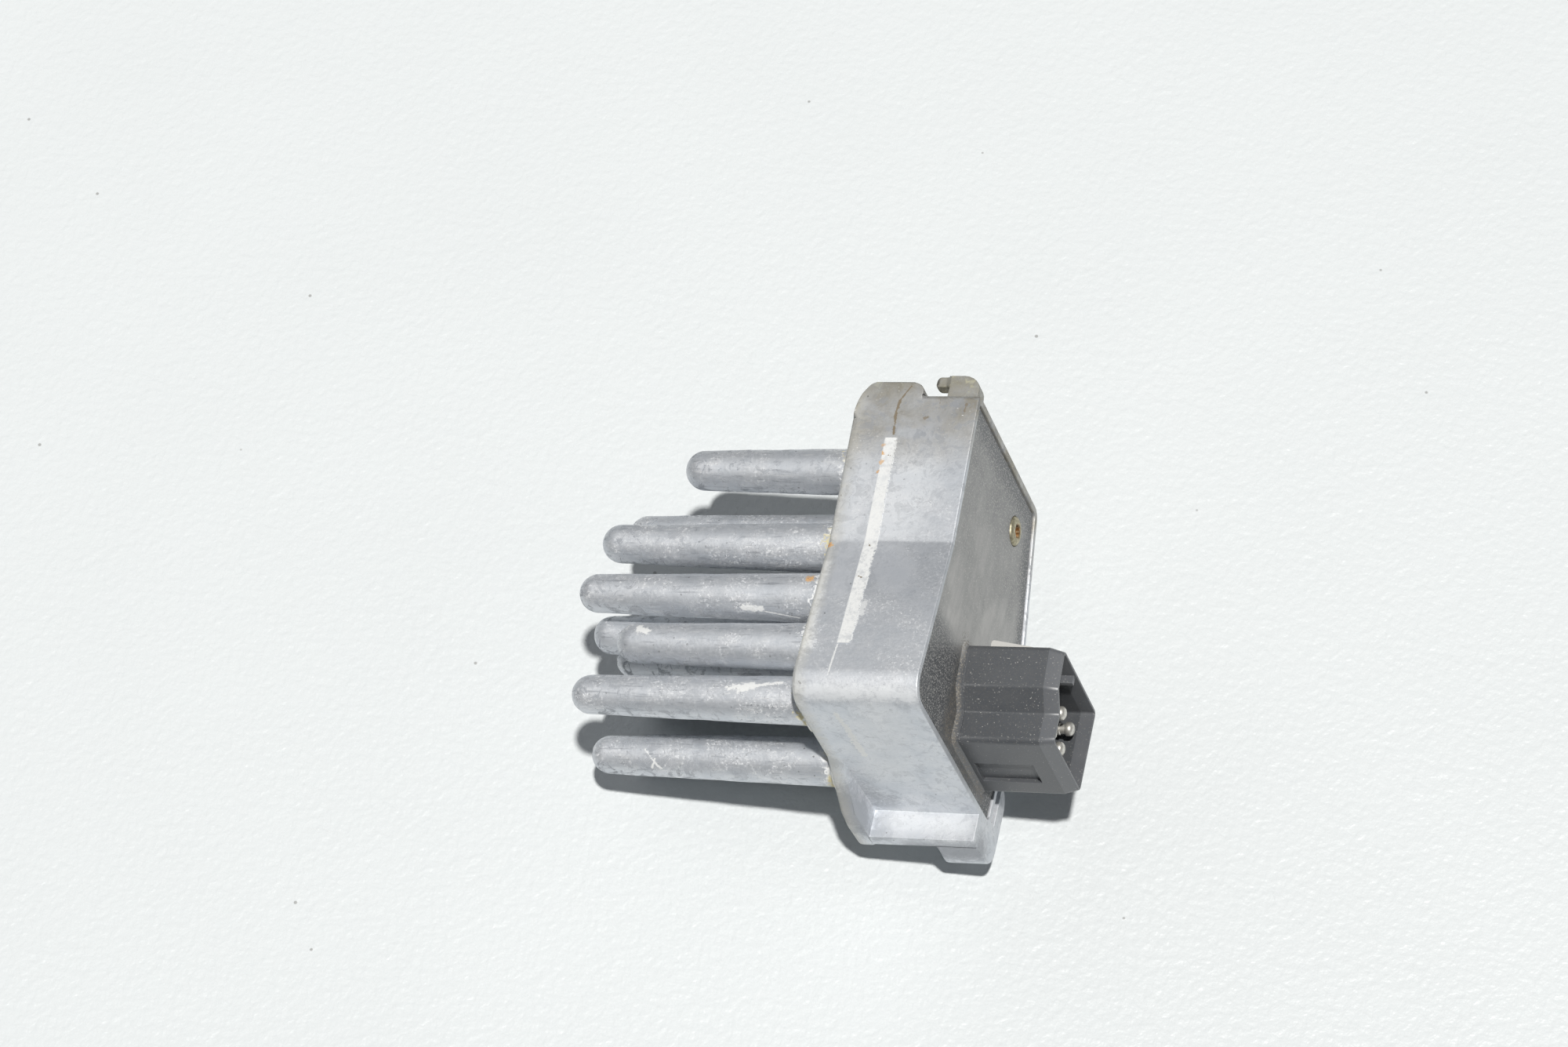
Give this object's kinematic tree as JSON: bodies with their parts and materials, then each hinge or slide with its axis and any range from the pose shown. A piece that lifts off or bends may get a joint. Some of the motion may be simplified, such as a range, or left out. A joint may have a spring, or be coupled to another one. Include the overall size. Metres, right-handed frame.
{
  "type": "blower motor resistor",
  "caption": "Cast aluminium heat sink tray with tapered cooling pins, closed by a black moulded cover with a keyed connector shroud, and power electronics inside.",
  "frame": {"origin": "middle of the rim plane, the open face of the tray that the cover closes", "axes": "+X along the cooling pins, from their tips to the mouth of the connector; +Y along the long side of the body to the end with the hook; +Z from the cut-off lower wall to the long bent wall"},
  "size_m": [0.0922, 0.0752, 0.0552],
  "materials": {
    "cast_aluminium": "as-cast aluminium, dulled and mottled by pale corrosion",
    "black_plastic": "satin moulded plastic, dusty",
    "gasket_rubber": "matt silicone bead",
    "yellow_zinc": "yellow zinc-plated steel",
    "tinned_terminal": "bright tin plate",
    "board_green": "green solder mask",
    "epoxy_black": "matt moulding compound",
    "pad_grey": "matt filled silicone sheet",
    "spring_steel": "plain steel",
    "capacitor_sleeve": "shrunk plastic sleeve",
    "shunt_alloy": "plain copper alloy strip"
  },
  "bodies": {
    "root": {"heat_sink": "cast_aluminium", "cover": "black_plastic", "cover_gasket": "gasket_rubber", "cover_screw": "yellow_zinc", "terminal_1": "tinned_terminal", "terminal_2": "tinned_terminal", "terminal_3": "tinned_terminal", "terminal_4": "tinned_terminal", "terminal_5": "tinned_terminal", "circuit_board": "board_green", "transistor_1": "epoxy_black", "transistor_2": "epoxy_black", "transistor_legs_1": "tinned_terminal", "transistor_legs_2": "tinned_terminal", "insulating_pad_1": "pad_grey", "insulating_pad_2": "pad_grey", "clamp_bar": "spring_steel", "clamp_screw": "spring_steel", "capacitor_1": "capacitor_sleeve", "capacitor_2": "capacitor_sleeve", "shunt_bridge": "shunt_alloy", "amplifier_chip": "epoxy_black", "flyback_diode": "epoxy_black"}
  },
  "joints": []
}
